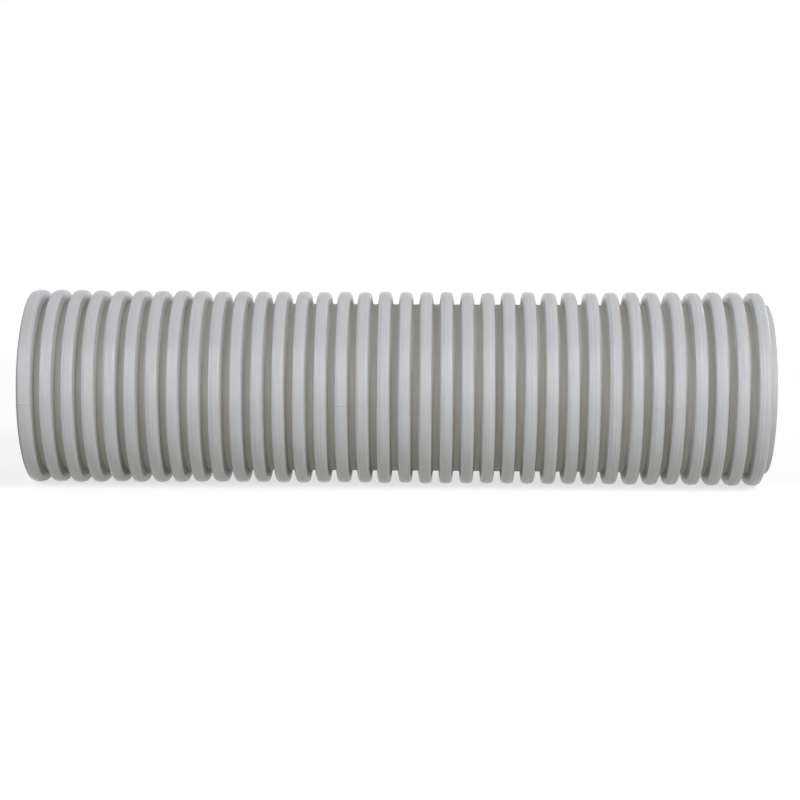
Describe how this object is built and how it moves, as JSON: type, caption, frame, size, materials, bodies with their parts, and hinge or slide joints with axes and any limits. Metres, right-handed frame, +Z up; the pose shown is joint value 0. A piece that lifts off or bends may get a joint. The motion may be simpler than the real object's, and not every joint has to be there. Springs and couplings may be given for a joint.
{
  "type": "vacuum hose",
  "caption": "Straight length of ring-corrugated pool vacuum hose in light grey plastic, with drafted square-crested ribs, a round bore and plain cut ends.",
  "frame": {"origin": "on the surface that the hose lies on, under the middle of its length", "axes": "+X along the hose, from the end cut flush with a rib to the end cut in the plain wall; +Z up from the surface"},
  "size_m": [0.1764, 0.0462, 0.0457],
  "materials": {
    "hose_plastic": "semi-gloss light grey moulded plastic with fine rings on the crests"
  },
  "bodies": {
    "root": {"corrugated_hose": "hose_plastic"}
  },
  "joints": []
}
